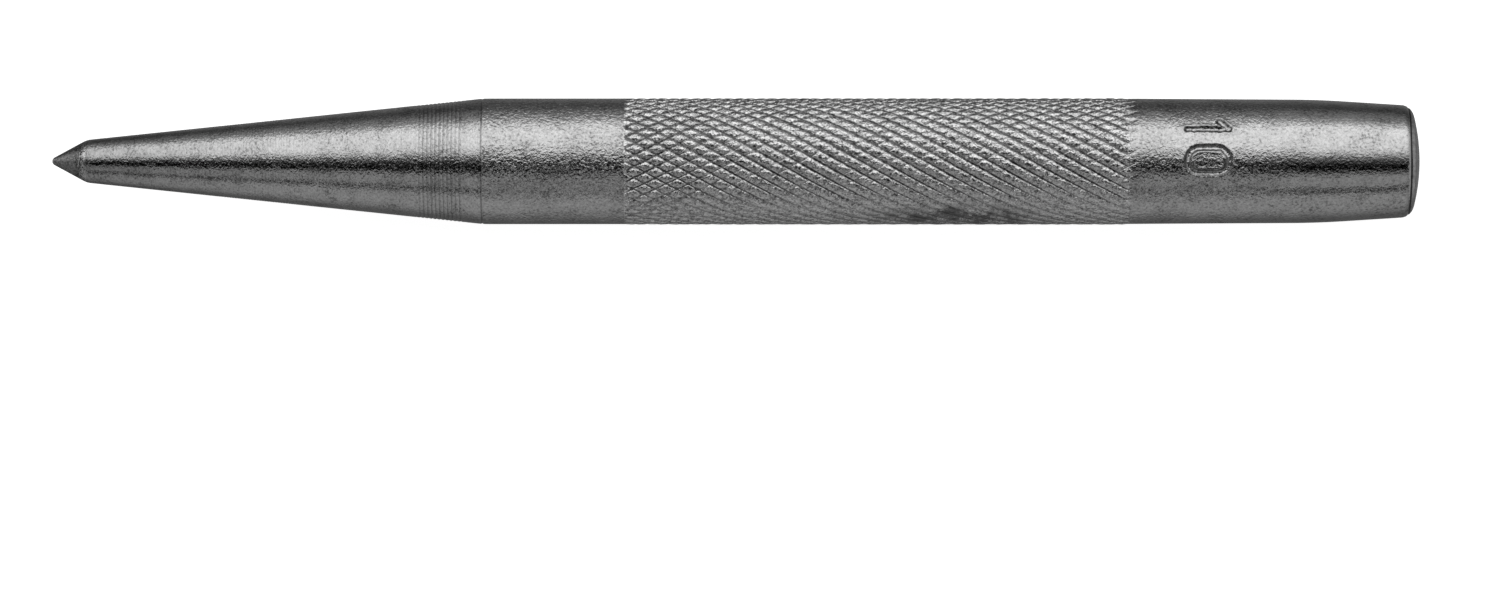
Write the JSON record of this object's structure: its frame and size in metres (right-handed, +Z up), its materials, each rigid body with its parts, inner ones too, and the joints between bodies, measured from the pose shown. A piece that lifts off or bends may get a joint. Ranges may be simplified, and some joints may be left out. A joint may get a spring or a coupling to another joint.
{
  "type": "center punch",
  "caption": "Solid steel centre punch: a ground point on a long taper, a diamond-knurled grip and a crowned head to strike.",
  "frame": {"origin": "on the surface that the punch lies on, under the middle of its length and below its axis", "axes": "+X along the punch from the point to the struck head, +Z up from the surface that it lies on"},
  "size_m": [0.102, 0.0094, 0.0095],
  "materials": {
    "plated_steel": "neutral grey plated steel: fine turning lines on the taper, mottled satin on the smooth lands, bright crests and dark grooves on the knurl, dark bare ground metal on the point"
  },
  "bodies": {
    "root": {"punch": "plated_steel"}
  },
  "joints": []
}
